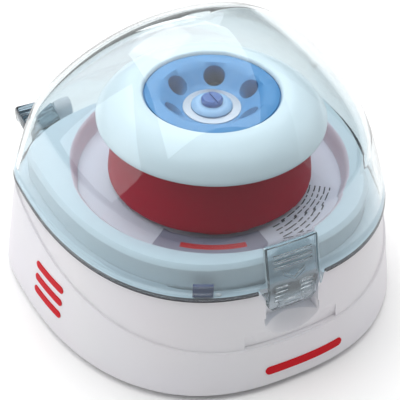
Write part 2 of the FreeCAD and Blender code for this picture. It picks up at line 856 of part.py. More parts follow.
def board_components():
    top = board_height + board_thickness
    middle = board_y
    chip = box((-6, middle - 5, top), (4, middle + 2, top + 1.6))
    plug = box((9, middle - 9, top), (17, middle - 3, top + 6))
    relay = box((-16, middle - 10, top), (-8, middle - 5, top + 5))
    large_drum = post(3.2, Vec(10, middle + 5, 0), top, top + 9)
    small_drum = post(2.4, Vec(-11, middle + 4, 0), top, top + 7)
    return Part.Compound([chip, plug, relay, large_drum, small_drum])


def upright_box(x, half_width, half_height, low_y, high_y):
    """Box centred on a control of the rear panel."""
    return box((x - half_width, low_y, control_height - half_height),
               (x + half_width, high_y, control_height + half_height))


def bevelled(shape, front_y, size):
    """Chamfer round the face that looks backwards at front_y."""
    edges = [e for e in shape.Edges if e.BoundBox.YMin > front_y - 0.05]
    return shape.makeChamfer(size, edges)


def switch_bezel():
    face = panel_y + bezel_stand
    frame = bevelled(upright_box(switch_x, 11.0, 8.2, panel_y, face), face, 0.5)
    sleeve = upright_box(switch_x, switch_half_width, switch_half_height, panel_y - 13, panel_y)
    cavity = upright_box(switch_x, switch_half_width - 1.5, switch_half_height - 1.1,
                         panel_y - 10, panel_y + 3)
    blades = [upright_box(switch_x + x, 0.4, 2.4, panel_y - 19, panel_y - 13) for x in (-5, 5)]
    return fuse([frame, sleeve] + blades).cut(cavity)


def power_rocker():
    """Rocker stored tipped to its off side."""
    crest = panel_y + bezel_stand + 1.5
    back = panel_y - 5
    profile = [(back, control_height - 4.2), (crest, control_height - 4.7),
               (crest - 1.2, control_height), (crest, control_height + 4.7),
               (back, control_height + 4.2)]
    half = switch_half_width - 1.5 - 4 * part_gap
    rocker = prism_yz(profile, switch_x - half, switch_x + half)
    rocker.rotate(Vec(switch_x, panel_y - 1, control_height), X_AXIS, rocker_tilt)
    return rocker


def dc_inlet():
    """Round power inlet with its open barrel."""
    face = panel_y + bezel_stand
    barrel = bar_along_y(barrel_radius, inlet_x, control_height, panel_y - 13, panel_y)
    flange = bar_along_y(barrel_radius + 1.8, inlet_x, control_height, panel_y, face)
    shell = barrel.fuse(bevelled(flange, face, 0.5))
    return shell.cut(bar_along_y(jack_radius, inlet_x, control_height, panel_y - 9.5, face + 1))


def dc_contact():
    tip = panel_y - 0.5
    pin = bar_along_y(contact_radius, inlet_x, control_height, panel_y - 9.5, tip)
    return bevelled(pin, tip, 0.4)


def skin_patch(tool, raise_by):
    """Thin raised piece of the lower wall inside a tool solid."""
    outer = drafted(-raise_by, body_low, seam_height)
    return outer.cut(drafted(0.0, body_low - 1, seam_height + 1)).common(tool)


def bar_tool(length, height, z, reach):
    """Long bar with round ends seen from the front."""
    half = length / 2 - height / 2
    core = box((-half, -reach - 30, z - height / 2), (half, -reach + 30, z + height / 2))
    ends = [rod(height / 2, Vec(x, -reach - 30, z), Vec(x, -reach + 30, z)) for x in (-half, half)]
    return fuse([core] + ends)


def front_badge():
    tool = turned(bar_tool(33.0, 3.4, 9.6, front_reach), 4.0)
    return skin_patch(tool, 0.3)


def side_badge():
    patches = []
    for number in range(3):
        bar = bar_tool(19.0, 3.0, 13.5 + 6.0 * number, body_half_width)
        tool = turned(bar, -84.0)
        patches.append(skin_patch(tool, 0.3))
    return Part.Compound(patches)


MAKERS = {
    "base_housing": base_housing,
    "bottom_cover": bottom_cover,
    "rubber_feet": rubber_feet,
    "cover_screws": cover_screws,
    "chamber_deck": chamber_deck,
    "deck_screws": deck_screws,
    "ring_label": ring_label,
    "label_block": label_block,
    "shaft_seal": shaft_seal,
    "lid_seal": lid_seal,
    "latch_catch": latch_catch,
    "interlock_switch": interlock_switch,
    "interlock_plunger": interlock_plunger,
    "hinge_bracket_left": lambda: hinge_bracket(-1),
    "hinge_bracket_right": lambda: hinge_bracket(1),
    "hinge_pins": hinge_pins,
    "lid_dome": lid_dome,
    "lid_magnet": lid_magnet,
    "latch_tab": latch_tab,
    "rotor_cap": rotor_cap,
    "rotor_skirt": rotor_skirt,
    "rotor_insert": rotor_insert,
    "rotor_floor_ring": rotor_floor_ring,
    "rotor_hub": rotor_hub,
    "rotor_knob": rotor_knob,
    "drive_adapter": drive_adapter,
    "drive_shaft": drive_shaft,
    "motor_can": motor_can,
    "motor_end_cap": motor_end_cap,
    "motor_bracket": motor_bracket,
    "motor_dampers": motor_dampers,
    "motor_screws": motor_screws,
    "control_board": control_board,
    "board_standoffs": board_standoffs,
    "board_screws": board_screws,
    "board_components": board_components,
    "switch_bezel": switch_bezel,
    "power_rocker": power_rocker,
    "dc_inlet": dc_inlet,
    "dc_contact": dc_contact,
    "front_badge": front_badge,
    "side_badge": side_badge,
}

datum_shift = Vec(0, (front_reach - back_reach) / 2, 0)
for name, maker in MAKERS.items():
    shape = maker()
    shape.translate(datum_shift)
    shape.exportStep("parts/" + name + ".step")
    print(name, len(shape.Solids), shape.isValid(), round(shape.Volume))
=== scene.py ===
import math
import bmesh
import bpy
import numpy as np
from mathutils import Matrix, Vector


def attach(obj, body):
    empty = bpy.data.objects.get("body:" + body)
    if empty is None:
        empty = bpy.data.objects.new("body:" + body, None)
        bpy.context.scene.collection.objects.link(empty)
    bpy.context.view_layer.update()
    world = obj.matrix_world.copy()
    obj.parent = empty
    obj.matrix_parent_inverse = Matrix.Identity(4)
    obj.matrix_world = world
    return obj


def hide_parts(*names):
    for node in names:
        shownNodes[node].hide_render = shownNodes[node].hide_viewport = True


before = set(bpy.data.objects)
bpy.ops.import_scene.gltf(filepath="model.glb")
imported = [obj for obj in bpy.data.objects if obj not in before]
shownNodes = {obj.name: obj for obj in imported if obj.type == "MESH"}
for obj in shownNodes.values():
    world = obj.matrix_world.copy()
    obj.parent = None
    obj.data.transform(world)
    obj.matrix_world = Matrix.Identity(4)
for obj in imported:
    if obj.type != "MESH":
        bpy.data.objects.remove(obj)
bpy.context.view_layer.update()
mm = 0.001
rotorY = 2.4  # mm, the rotor axis behind the origin
print("frame loaded:", len(shownNodes), "nodes")


def tone(hexText):  # sRGB hex to linear RGBA
    values = [int(hexText[i:i + 2], 16) / 255 for i in (0, 2, 4)]
    return [v / 12.92 if v <= 0.04045 else ((v + 0.055) / 1.055) ** 2.4 for v in values] + [1.0]


def addNode(tree, kind, settings=None, links=None):
    # settings go to properties or sockets, links feed sockets
    node = tree.nodes.new(kind)
    for key, value in (settings or {}).items():
        if hasattr(node, key) and key not in node.inputs:
            setattr(node, key, value)
        else:
            node.inputs[key].default_value = value
    for key, source in (links or {}).items():
        tree.links.new(source, node.inputs[key])
    return node


def newMaterial(name):
    material = bpy.data.materials.new(name)
    material.use_nodes = True
    tree = material.node_tree
    shader = tree.nodes["Principled BSDF"]
    return material, tree, shader


def meshFromGrid(name, grid, closeAcross=True, capStart=False, capEnd=False, keep=None):
    # grid is rows x columns x 3 in metres; neighbouring points make quads, rows may close on themselves
    rows, columns, _ = grid.shape
    verts = grid.reshape(-1, 3)
    r = np.arange(rows - 1)[:, None]
    c = np.arange(columns if closeAcross else columns - 1)[None, :]
    nextC = (c + 1) % columns
    quads = np.stack(np.broadcast_arrays(r * columns + c, r * columns + nextC,
                                         (r + 1) * columns + nextC, (r + 1) * columns + c), -1)
    if keep is not None:
        quads = quads[keep]
    faces = quads.reshape(-1, 4).tolist()
    points = verts.tolist()
    for wanted, row, flip in ((capStart, 0, True), (capEnd, rows - 1, False)):
        if wanted:  # a fan of triangles round the row's middle closes the end
            ring = row * columns + np.arange(columns)
            pair = np.stack([ring, np.roll(ring, -1)][::-1 if flip else 1], 1)
            faces += np.column_stack([pair, np.full(columns, len(points))]).tolist()
            points.append(grid[row].mean(0).tolist())
    mesh = bpy.data.meshes.new(name)
    mesh.from_pydata(points, [], faces)
    mesh.validate()
    return finishMesh(name, mesh)


def finishMesh(name, mesh, smoothAngle=35):
    piece = bpy.data.objects.new(name, mesh)
    bpy.context.scene.collection.objects.link(piece)
    mesh.shade_smooth()
    mesh.set_sharp_from_angle(angle=math.radians(smoothAngle))
    return piece


def fixNormals(piece, joinDistance=1e-6):  # welds doubles, then turns every face outwards
    work = bmesh.new()
    work.from_mesh(piece.data)
    bmesh.ops.remove_doubles(work, verts=work.verts, dist=joinDistance)
    bmesh.ops.recalc_face_normals(work, faces=work.faces)
    work.to_mesh(piece.data)
    work.free()
    piece.data.shade_smooth()
    return piece


def addModifier(piece, kind, **settings):
    modifier = piece.modifiers.new(kind.title(), kind)
    for key, value in settings.items():
        setattr(modifier, key, value)
    return modifier


def finishPiece(piece, material, body, nodes):
    piece.data.materials.clear()
    piece.data.materials.append(material)
    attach(piece, body)
    if nodes:
        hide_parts(*nodes)
    return piece


def weldedCopy(node, newName, smoothAngle, bevel, bevelAngle=40, joinDistance=2e-6):
    # a CAD node's triangles welded into one skin, so that its curved faces shade as one
    mesh = shownNodes[node].data.copy()
    mesh.name = newName
    work = bmesh.new()
    work.from_mesh(mesh)
    bmesh.ops.remove_doubles(work, verts=work.verts, dist=joinDistance)
    bmesh.ops.dissolve_degenerate(work, edges=work.edges, dist=joinDistance)
    work.to_mesh(mesh)
    work.free()
    piece = finishMesh(newName, mesh, smoothAngle)
    addModifier(piece, "BEVEL", width=bevel * mm, segments=2, limit_method="ANGLE",
                angle_limit=math.radians(bevelAngle), harden_normals=True)
    return piece


plan = dict(halfWidth=76.0, frontReach=71.8, backReach=67.0, widestY=26.0, frontPower=2.48, backPower=2.05,
            farthest=160.0, halvings=36)  # mm from the rotor axis


def planExcess(x, y, inset):
    # the share of the half width plus the share of the reach, each raised to its power; 1 on the outline
    front = y < plan["widestY"]
    power = np.where(front, plan["frontPower"], plan["backPower"])
    reach = np.where(front, plan["frontReach"] + plan["widestY"], plan["backReach"] - plan["widestY"])
    return ((np.abs(x) / (plan["halfWidth"] - inset)) ** power
            + (np.abs(y - plan["widestY"]) / (reach - inset)) ** power)


def planRadius(bearing, inset):  # distance from the rotor axis to the outline, by halving an interval
    bearing, inset = np.broadcast_arrays(np.asarray(bearing, float), np.asarray(inset, float))
    low, high = np.zeros(bearing.shape), np.full(bearing.shape, plan["farthest"])
    for _ in range(plan["halvings"]):
        middle = (low + high) / 2
        inside = planExcess(middle * np.sin(bearing), -middle * np.cos(bearing), inset) < 1
        low, high = np.where(inside, middle, low), np.where(inside, high, middle)
    return low


def aroundAxis(radius, bearing, z, shiftY=0.0):  # radius, bearing from the front and height to metres
    return np.stack([radius * np.sin(bearing), -radius * np.cos(bearing) + shiftY + rotorY,
                     np.broadcast_to(z, np.shape(radius))], -1) * mm


def mouldedPlastic(name, colour, roughness, grainSize, grainDepth, coat=0.0):
    # injection moulded ABS: an even pigment with a fine spark-eroded grain that softens the highlight
    material, tree, shader = newMaterial(name)
    shader.inputs["IOR"].default_value = 1.54
    shader.inputs["Roughness"].default_value = roughness
    shader.inputs["Coat Weight"].default_value = coat
    place = addNode(tree, "ShaderNodeTexCoord")
    grain = addNode(tree, "ShaderNodeTexNoise", {"Scale": 1000 / grainSize, "Detail": 2.0},
                    {"Vector": place.outputs["Object"]})
    cloud = addNode(tree, "ShaderNodeTexNoise", {"Scale": 22.0, "Detail": 2.0},
                    {"Vector": place.outputs["Object"]})  # pigment clouds of about 45 mm
    shade = addNode(tree, "ShaderNodeMix", {"data_type": "RGBA", "blend_type": "MULTIPLY"})
    shade.inputs[0].default_value = 0.05
    shade.inputs[6].default_value = tone(colour)
    tree.links.new(cloud.outputs["Color"], shade.inputs[7])
    tree.links.new(shade.outputs[2], shader.inputs["Base Color"])
    bump = addNode(tree, "ShaderNodeBump", {"Strength": 0.25, "Distance": grainDepth * mm},
                   {"Height": grain.outputs["Fac"]})
    tree.links.new(bump.outputs["Normal"], shader.inputs["Normal"])
    return material


def clearPolycarbonate(name, colour, roughness, shadowTint):
    # pressed clear polycarbonate with a faint blue tint; lamps shine through to what stands inside
    material, tree, shader = newMaterial(name)
    shader.inputs["Base Color"].default_value = tone(colour)
    shader.inputs["Transmission Weight"].default_value = 1.0
    shader.inputs["IOR"].default_value = 1.585
    shader.inputs["Roughness"].default_value = roughness
    lamp = addNode(tree, "ShaderNodeLightPath")
    clear = addNode(tree, "ShaderNodeBsdfTransparent", {"Color": tone(shadowTint)})
    mix = addNode(tree, "ShaderNodeMixShader", {}, {0: lamp.outputs["Is Shadow Ray"], 1: shader.outputs[0],
                                                   2: clear.outputs[0]})
    tree.links.new(mix.outputs[0], tree.nodes["Material Output"].inputs["Surface"])
    return material


def frostedEdge(name, colour):
    # cut edge of the clear sheet: scattered light makes it look milky instead of clear
    material, tree, shader = newMaterial(name)
    shader.inputs["Base Color"].default_value = tone(colour)
    shader.inputs["IOR"].default_value = 1.585
    shader.inputs["Transmission Weight"].default_value = 0.35
    place = addNode(tree, "ShaderNodeTexCoord")
    cloud = addNode(tree, "ShaderNodeTexNoise", {"Scale": 900.0, "Detail": 2.0},  # saw marks of about 1.1 mm
                    {"Vector": place.outputs["Object"]})
    spread = addNode(tree, "ShaderNodeMapRange", {"To Min": 0.4, "To Max": 0.65},
                     {"Value": cloud.outputs["Fac"]})
    tree.links.new(spread.outputs[0], shader.inputs["Roughness"])
    return material


def glossPlastic(name, colour, roughness, coat=0.4, specular=0.5):
    # polished moulded plastic with a slight orange peel
    material, tree, shader = newMaterial(name)
    shader.inputs["Base Color"].default_value = tone(colour)
    shader.inputs["IOR"].default_value = 1.5
    shader.inputs["Roughness"].default_value = roughness
    shader.inputs["Coat Weight"].default_value = coat
    shader.inputs["Specular IOR Level"].default_value = specular
    shader.inputs["Coat Roughness"].default_value = 0.08
    place = addNode(tree, "ShaderNodeTexCoord")
    peel = addNode(tree, "ShaderNodeTexNoise", {"Scale": 400.0, "Detail": 1.0},  # waves of about 2.5 mm
                   {"Vector": place.outputs["Object"]})
    bump = addNode(tree, "ShaderNodeBump", {"Strength": 0.08, "Distance": 0.02 * mm},
                   {"Height": peel.outputs["Fac"]})
    tree.links.new(bump.outputs["Normal"], shader.inputs["Normal"])
    return material


def bareMetal(name, colour, roughness, lineSize):
    # turned, drawn or plated metal: fine lines round the Z axis break the highlight
    material, tree, shader = newMaterial(name)
    shader.inputs["Metallic"].default_value = 1.0
    shader.inputs["Base Color"].default_value = tone(colour)
    place = addNode(tree, "ShaderNodeTexCoord")
    stretch = addNode(tree, "ShaderNodeMapping", {"Scale": (1, 1, 6)}, {"Vector": place.outputs["Object"]})
    lines = addNode(tree, "ShaderNodeTexNoise", {"Scale": 1000 / lineSize, "Detail": 3.0},
                    {"Vector": stretch.outputs[0]})
    spread = addNode(tree, "ShaderNodeMapRange", {"To Min": roughness * 0.75, "To Max": roughness * 1.3},
                     {"Value": lines.outputs["Fac"]})
    tree.links.new(spread.outputs[0], shader.inputs["Roughness"])
    return material


def softRubber(name, colour):
    # moulded rubber: dark, matt, with a dusty bloom
    material, tree, shader = newMaterial(name)
    shader.inputs["IOR"].default_value = 1.52
    place = addNode(tree, "ShaderNodeTexCoord")
    bloom = addNode(tree, "ShaderNodeTexNoise", {"Scale": 180.0, "Detail": 3.0},  # dust of about 5.6 mm
                    {"Vector": place.outputs["Object"]})
    ramp = addNode(tree, "ShaderNodeMix", {"data_type": "RGBA"})
    tree.links.new(bloom.outputs["Fac"], ramp.inputs[0])
    ramp.inputs[6].default_value = tone(colour)
    ramp.inputs[7].default_value = tone("2b2d33")
    tree.links.new(ramp.outputs[2], shader.inputs["Base Color"])
    shader.inputs["Roughness"].default_value = 0.75
    return material


# moulded: colour, roughness, grain size and depth in mm; gloss: colour, roughness, coat, specular level
# clear: colour, roughness, tint of its shadow; metal: colour, roughness, line spacing in mm
finishes = dict(
    housing=mouldedPlastic("whiteMouldedAbs", "e9e7ec", 0.38, 0.9, 0.02),
    deck=mouldedPlastic("paleBlueMouldedAbs", "bac8d1", 0.35, 0.9, 0.02),
    cover=mouldedPlastic("greyMouldedAbs", "6a6d72", 0.5, 0.9, 0.03),
    black=mouldedPlastic("blackMouldedNylon", "17181b", 0.45, 0.8, 0.03),
    bracket=mouldedPlastic("whiteMouldedNylon", "d6d7dc", 0.42, 0.9, 0.02),
    label=mouldedPlastic("lavenderLabelFilm", "d3d2de", 0.42, 0.5, 0.01),
    labelDark=mouldedPlastic("greyPrintedFilm", "8e8a9d", 0.42, 0.5, 0.01),
    window=glossPlastic("darkBluePolycarbonate", "2c3f66", 0.12),
    lid=clearPolycarbonate("clearTintedPolycarbonate", "edf4f6", 0.015, "f0f6f8"),
    tab=clearPolycarbonate("ribbedTintedPolycarbonate", "d4dfe4", 0.2, "c6d3da"),
    # hinge arms: the lid's clear tinted plastic, drawn darker as painted shade for how dark it looks at
    # grazing angles
    arm=clearPolycarbonate("tintedPolycarbonateWithPaintedShade", "9fb4bf", 0.06, "9fb2bc"),
    lidEdge=frostedEdge("sawnPolycarbonateEdge", "b9cbd4"),
    # the seal lip's dark navy rubber: partly the seal, partly painted shadow for the shade line in the gap
    # at the seam
    sealAndSeamShadow=softRubber("sealLipWithPaintedSeamShadow", "23262f"),
    ink=mouldedPlastic("blackPrintedInk", "3a3640", 0.5, 0.5, 0.01),
    # the chamber wall: its own lavender tint, made lighter than that with painted light that offsets the
    # shade inside the chamber
    wall=mouldedPlastic("lavenderAbsWithPaintedLight", "d6cfdb", 0.36, 0.9, 0.02),
    cap=glossPlastic("whitePolishedPolypropylene", "d3dbe0", 0.3),
    skirt=glossPlastic("redMouldedPolypropylene", "a80a28", 0.5, 0.0, 0.12),
    insert=glossPlastic("blueMouldedPolypropylene", "4080b4", 0.4),
    hub=glossPlastic("lightBlueAcetal", "86a9cc", 0.25),
    knob=glossPlastic("deepBlueAcetal", "174a92", 0.22),
    ring=bareMetal("anodisedAluminium", "b9bcc6", 0.35, 0.4),
    steel=bareMetal("zincPlatedSteel", "b4b6ba", 0.35, 0.5),
    pin=bareMetal("groundSteel", "c8c9cc", 0.2, 0.3),
    motor=bareMetal("drawnMotorSteel", "8f9194", 0.38, 0.5),
    adapter=bareMetal("turnedAluminium", "c4c6c9", 0.28, 0.25),
    rubber=softRubber("mouldedRubber", "14151a"),
    board=glossPlastic("greenSolderMask", "1c5a35", 0.3),
    badge=glossPlastic("redPrintedFilm", "cc0c1e", 0.5, 0.0, 0.12),
)
# every node from the CAD and the finish it takes
plainNodes = dict(
    bottom_cover="cover", rubber_feet="rubber", cover_screws="steel", deck_screws="steel",
    lid_magnet="window", ring_label="label", label_block="labelDark", shaft_seal="rubber",
    lid_seal="rubber", latch_catch="steel", interlock_switch="black", interlock_plunger="bracket",
    hinge_bracket_left="bracket", hinge_bracket_right="bracket", hinge_pins="pin",
    rotor_floor_ring="ring", rotor_hub="hub", rotor_knob="knob", drive_adapter="adapter",
    drive_shaft="pin", motor_can="motor", motor_end_cap="black", motor_bracket="steel",
    motor_dampers="rubber", motor_screws="steel", control_board="board", board_standoffs="bracket",
    board_screws="steel", board_components="black", switch_bezel="black", power_rocker="black",
    dc_inlet="black", dc_contact="adapter", front_badge="badge", side_badge="badge",
    base_housing="housing", chamber_deck="deck", lid_dome="lid", latch_tab="tab", rotor_cap="cap",
    rotor_skirt="skirt", rotor_insert="insert")
for nodeName, finish in plainNodes.items():
    nodeMesh = shownNodes[nodeName].data
    nodeMesh.materials.clear()
    nodeMesh.materials.append(finishes[finish])
print("materials ready:", len(finishes))

lid = dict(rimInset=6.4, kneeInset=13.9, rimZ=45.6, kneeZ=70.5, topZ=110.36, power=1.11, rounding=0.57,
           apexShift=9.0, kneeSlope=0.62, kneeSoftness=1.3, deepestInset=40, wall=2.4, windowHalf=10.25,
           windowTop=61.5, windowReach=62.0, leastReach=30.0, columnsHeldAbove=2, slitRounds=4,
           besideSlit=(0.0, 0.4, 0.9, 1.45, 1.8, 2.4), openAngle=0.33, sideMargin=0.012, crowding=1.75,
           earWidth=1.45, earDrop=3.6, earReach=64.0, earFront=0.5, earTopZ=49.6, earFade=4.0,
           rimShare=0.3, rimSteps=8, rimStepHeight=0.5, edgeBevel=0.25, bevelAngle=50,
           skirtRows=26, domeRows=54, windowColumns=12, sideColumns=150)


def lidShell():
    # radius is the soft minimum of the drafted skirt and of the dome, whose width falls with height
    # as (1 - share ** power) ** rounding; columns slide so that two of them follow the tab's slits
    skirtZ = np.linspace(lid["rimZ"], lid["windowTop"], lid["skirtRows"])
    steps = 1 - (1 - np.linspace(0, 1, lid["domeRows"])) ** lid["crowding"]
    domeZ = lid["windowTop"] + (lid["topZ"] - lid["windowTop"]) * steps[1:-1]
    z = np.concatenate([skirtZ, domeZ])[:, None]
    slitBearing = np.arcsin(lid["windowHalf"] / lid["windowReach"]) * np.ones_like(z)
    across = np.linspace(-1, 1, lid["windowColumns"] + 1)[None, :-1]
    wayRound = lid["windowReach"] * (2 * np.pi - lid["openAngle"])
    nearSlit = np.array(lid["besideSlit"]) / wayRound  # shares of the way round
    evenly = np.linspace(lid["sideMargin"], 1 - lid["sideMargin"], lid["sideColumns"])
    side = np.concatenate([nearSlit, evenly, 1 - nearSlit[:0:-1]])[None, :]
    for _ in range(lid["slitRounds"]):  # the slit's bearing depends on the radius it lies at
        radiusAt = lidRadius(slitBearing, z)
        slitBearing = np.arcsin(lid["windowHalf"] / np.maximum(radiusAt, lid["leastReach"]))
        slitBearing = np.where(z > lid["windowTop"] + lid["columnsHeldAbove"],
                               slitBearing[lid["skirtRows"] + 1], slitBearing)
    bearing = np.concatenate([across * slitBearing, slitBearing + side * (2 * np.pi - 2 * slitBearing)], 1)
    z = z - earDip(bearing) * np.clip((lid["earTopZ"] - z) / lid["earFade"], 0, 1)
    radius = lidRadius(bearing, z)
    share = np.clip((z - lid["kneeZ"]) / (lid["topZ"] - lid["kneeZ"]), 0, 1)
    grid = aroundAxis(radius, bearing, z, lid["apexShift"] * share)
    rows, columns = radius.shape
    keep = np.ones((rows - 1, columns), bool)  # the window for the latch tab stays open
    keep[:lid["skirtRows"] - 1, :lid["windowColumns"]] = False
    piece = meshFromGrid("lidShell", grid, keep=keep, capEnd=True)
    mesh = piece.data
    mesh.vertices[len(mesh.vertices) - 1].co = (0, (lid["apexShift"] + rotorY) * mm, lid["topZ"] * mm)
    fixNormals(piece)
    height = np.empty(len(mesh.vertices) * 3)
    mesh.vertices.foreach_get("co", height)
    height = height.reshape(-1, 3)[:, 2] / mm
    full = piece.vertex_groups.new(name="wallShare")
    for step in range(lid["rimSteps"]):  # the wall grows from a thin lip at the rim to its full thickness
        chosen = np.nonzero(height > lid["rimZ"] + lid["rimStepHeight"] * step)[0].tolist()
        full.add(chosen, (step + 1) / lid["rimSteps"], "REPLACE")
    addModifier(piece, "SOLIDIFY", thickness=lid["wall"] * mm, offset=-1, use_even_offset=False,
                vertex_group="wallShare", thickness_vertex_group=lid["rimShare"], material_offset_rim=1)
    addModifier(piece, "BEVEL", width=lid["edgeBevel"] * mm, segments=2, limit_method="ANGLE",
                angle_limit=math.radians(lid["bevelAngle"]))
    return piece


def earDip(bearing):
    # beside the window the rim runs down to the slit in a straight line, and is earDrop lower at the slit
    across = np.abs(np.sin(bearing)) * lid["earReach"]
    front = np.cos(bearing) > lid["earFront"]
    share = np.clip(1 - (across - lid["windowHalf"]) / lid["earWidth"], 0, 1)
    return np.where(front, share * lid["earDrop"], 0.0)


def lidRadius(bearing, z):
    # the skirt's inset grows in a straight line from rim to knee, the dome's width shrinks towards the top,
    # and where they cross the smaller of the two wins with a soft corner
    below = (z - lid["rimZ"]) / (lid["kneeZ"] - lid["rimZ"])
    inset = lid["rimInset"] + (lid["kneeInset"] - lid["rimInset"]) * below
    skirt = planRadius(bearing, np.minimum(inset, lid["deepestInset"]))
    share = np.clip((z - lid["kneeZ"]) / (lid["topZ"] - lid["kneeZ"]), 0, 1)
    width = (1 - share ** lid["power"]) ** lid["rounding"]
    dome = planRadius(bearing, lid["kneeInset"]) * width + lid["kneeSlope"] * np.maximum(lid["kneeZ"] - z, 0)
    soft = lid["kneeSoftness"]
    nearer = np.minimum(skirt, dome)
    return nearer - soft * np.log1p(np.exp(-np.abs(skirt - dome) / soft))


lidPiece = finishPiece(lidShell(), finishes["lid"], "lid", ["lid_dome"])
lidPiece.data.materials.append(finishes["lidEdge"])

arm = dict(innerX=42.0, outerX=56.0, hingeY=62.6, hingeZ=47.8, radius=4.2, lowZ=45.75, startY=44.0, heel=2.0,
           rounding=0.8, turnStart=0.5, turnSteps=22, inward=(1.0, 0.35, 0.0), along=(0.0, 0.35, 1.0),
           sharpAngle=50)


def hingeArm(side):
    # a (y, z) outline of a bar that ends in a round knuckle, carried along X; near both ends
    # it shrinks towards its middle, so that the edges are rounded
    turn = np.linspace(-np.pi / 2 + arm["turnStart"], np.pi / 2, arm["turnSteps"])
    knuckle = np.stack([arm["hingeY"] + arm["radius"] * np.cos(turn),
                        arm["hingeZ"] + arm["radius"] * np.sin(turn)], 1)
    tail = np.array([[arm["startY"], arm["hingeZ"] + arm["radius"]], [arm["startY"], arm["lowZ"]],
                     [arm["hingeY"] - arm["heel"], arm["lowZ"]]])
    outline = np.concatenate([knuckle, tail])
    edge = arm["rounding"]
    lift = np.concatenate([arm["inward"], arm["inward"][::-1]])
    along = np.array(arm["along"]) * edge
    xs = np.concatenate([arm["innerX"] + along, arm["outerX"] - along[::-1]])
    toCentre = outline.mean(0) - outline
    toCentre /= np.linalg.norm(toCentre, axis=1)[:, None]
    grid = np.stack([np.column_stack([np.full(len(outline), side * x), outline + toCentre * edge * l])
                     for x, l in zip(xs, lift)])
    grid[..., 1] += rotorY
    name = "hingeArm" + ("Right" if side > 0 else "Left")
    piece = meshFromGrid(name, grid * mm, capStart=True, capEnd=True)
    fixNormals(piece)
    piece.data.set_sharp_from_angle(angle=math.radians(arm["sharpAngle"]))
    return piece


for side in (-1, 1):
    finishPiece(hingeArm(side), finishes["arm"], "lid", None)
print("lid built")

seal = dict(inset=6.75, lowZ=44.82, highZ=45.5, width=1.9, gapHalf=13.4, gapReach=65.0, columns=220)


def sealLip():
    # a small rectangle (inset, height) carried along the lid's outline, open where the latch tab stands; its
    # dark rubber makes the thin line at the seam, partly the seal and partly painted shadow for the shade in
    # the gap under the lid's rim
    start = math.asin(seal["gapHalf"] / seal["gapReach"])
    bearing = np.linspace(start, 2 * np.pi - start, seal["columns"])[:, None]
    inset = np.array([0.0, 0.0, seal["width"], seal["width"]])[None, :] + seal["inset"]
    z = np.array([seal["lowZ"], seal["highZ"], seal["highZ"], seal["lowZ"]])[None, :]
    grid = aroundAxis(planRadius(bearing, inset), bearing, z)
    return fixNormals(meshFromGrid("sealLip", grid, capStart=True, capEnd=True))


finishPiece(sealLip(), finishes["sealAndSeamShadow"], "base", ["lid_seal"])
print("seal built")

# nodes that keep their shape and get softened edges: new name, finish, body, slot, edge width in mm
softened = dict(
    base_housing=("housingShell", "housing", "base", "housing_white", 0.35),
    chamber_deck=("deckShell", "deck", "base", "deck_pale", 0.4),
    latch_tab=("ribbedTab", "tab", "tab", "tab_clear", 0.15),
    rotor_insert=("tubeInsert", "insert", "rotor", "insert_blue", 0.25),
    hinge_bracket_left=("bracketLeft", "bracket", "base", "bracket_plastic", 0.5),
    hinge_bracket_right=("bracketRight", "bracket", "base", "bracket_plastic", 0.5),
)
smoothBelow = 32  # degrees between faces that shade as one
chamberWall = dict(innerRadius=50.4, outerRadius=53.4, lowZ=46.9, highZ=54.4)
ledge = dict(lowZ=43.0, highZ=46.5, up=0.5)


def faceArrays(piece):  # centre in mm and normal of every face
    centres = np.empty(len(piece.data.polygons) * 3)
    normals = centres.copy()
    piece.data.polygons.foreach_get("center", centres)
    piece.data.polygons.foreach_get("normal", normals)
    return centres.reshape(-1, 3) / mm, normals.reshape(-1, 3)


for nodeName, (newName, finish, body, slotName, bevel) in softened.items():
    softCopy = weldedCopy(nodeName, newName, smoothBelow, bevel)
    piece = finishPiece(softCopy, finishes[finish], body, [nodeName])
    centres, normals = faceArrays(piece)
    height = centres[:, 2]
    # the deck's chamber wall is drawn lighter than the deck, partly its own lavender tint and partly painted
    # light against the shade in the chamber
    if nodeName == "chamber_deck":  # the chamber's wall takes its own finish
        piece.data.materials.append(finishes["wall"])
        radius = np.hypot(centres[:, 0], centres[:, 1] - rotorY)
        onWall = ((radius > chamberWall["innerRadius"]) & (radius < chamberWall["outerRadius"])
                  & (height > chamberWall["lowZ"]) & (height < chamberWall["highZ"]))
        piece.data.polygons.foreach_set("material_index", onWall.astype(int))
    if nodeName == "base_housing":  # the ledge under the lid's rim matches the deck
        piece.data.materials.append(finishes["deck"])
        onLedge = (height > ledge["lowZ"]) & (height < ledge["highZ"]) & (normals[:, 2] > ledge["up"])
        piece.data.polygons.foreach_set("material_index", onLedge.astype(int))
print("softened pieces:", len(softened))


def turnedPiece(name, profile, steps=192):
    # a closed (radius, height) outline in mm turned about the rotor axis
    profile = np.asarray(profile, float)
    angle = np.linspace(0, 2 * np.pi, steps, endpoint=False)[:, None]
    radius, height = profile[:, 0][None, :], profile[:, 1][None, :]
    grid = np.stack([radius * np.cos(angle), radius * np.sin(angle) + rotorY, height + 0 * angle], -1) * mm
    grid = np.concatenate([grid, grid[:1]])
    return fixNormals(meshFromGrid(name, grid))


def roundedOutline(corners, reaches, steps=6, mostOfSide=0.48):
    # each corner of a closed outline becomes a quadratic curve that leaves its two sides at the given
    # distance, or just short of the side's middle where the side is short
    corners = np.asarray(corners, float)
    before, after = np.roll(corners, 1, 0) - corners, np.roll(corners, -1, 0) - corners
    lengthIn, lengthOut = np.linalg.norm(before, axis=1), np.linalg.norm(after, axis=1)
    start = corners + before / lengthIn[:, None] * np.minimum(reaches, lengthIn * mostOfSide)[:, None]
    end = corners + after / lengthOut[:, None] * np.minimum(reaches, lengthOut * mostOfSide)[:, None]
    t = np.linspace(0, 1, steps)[None, :, None]
    curve = (1 - t) ** 2 * start[:, None] + 2 * t * (1 - t) * corners[:, None] + t ** 2 * end[:, None]
    return curve.reshape(-1, 2)


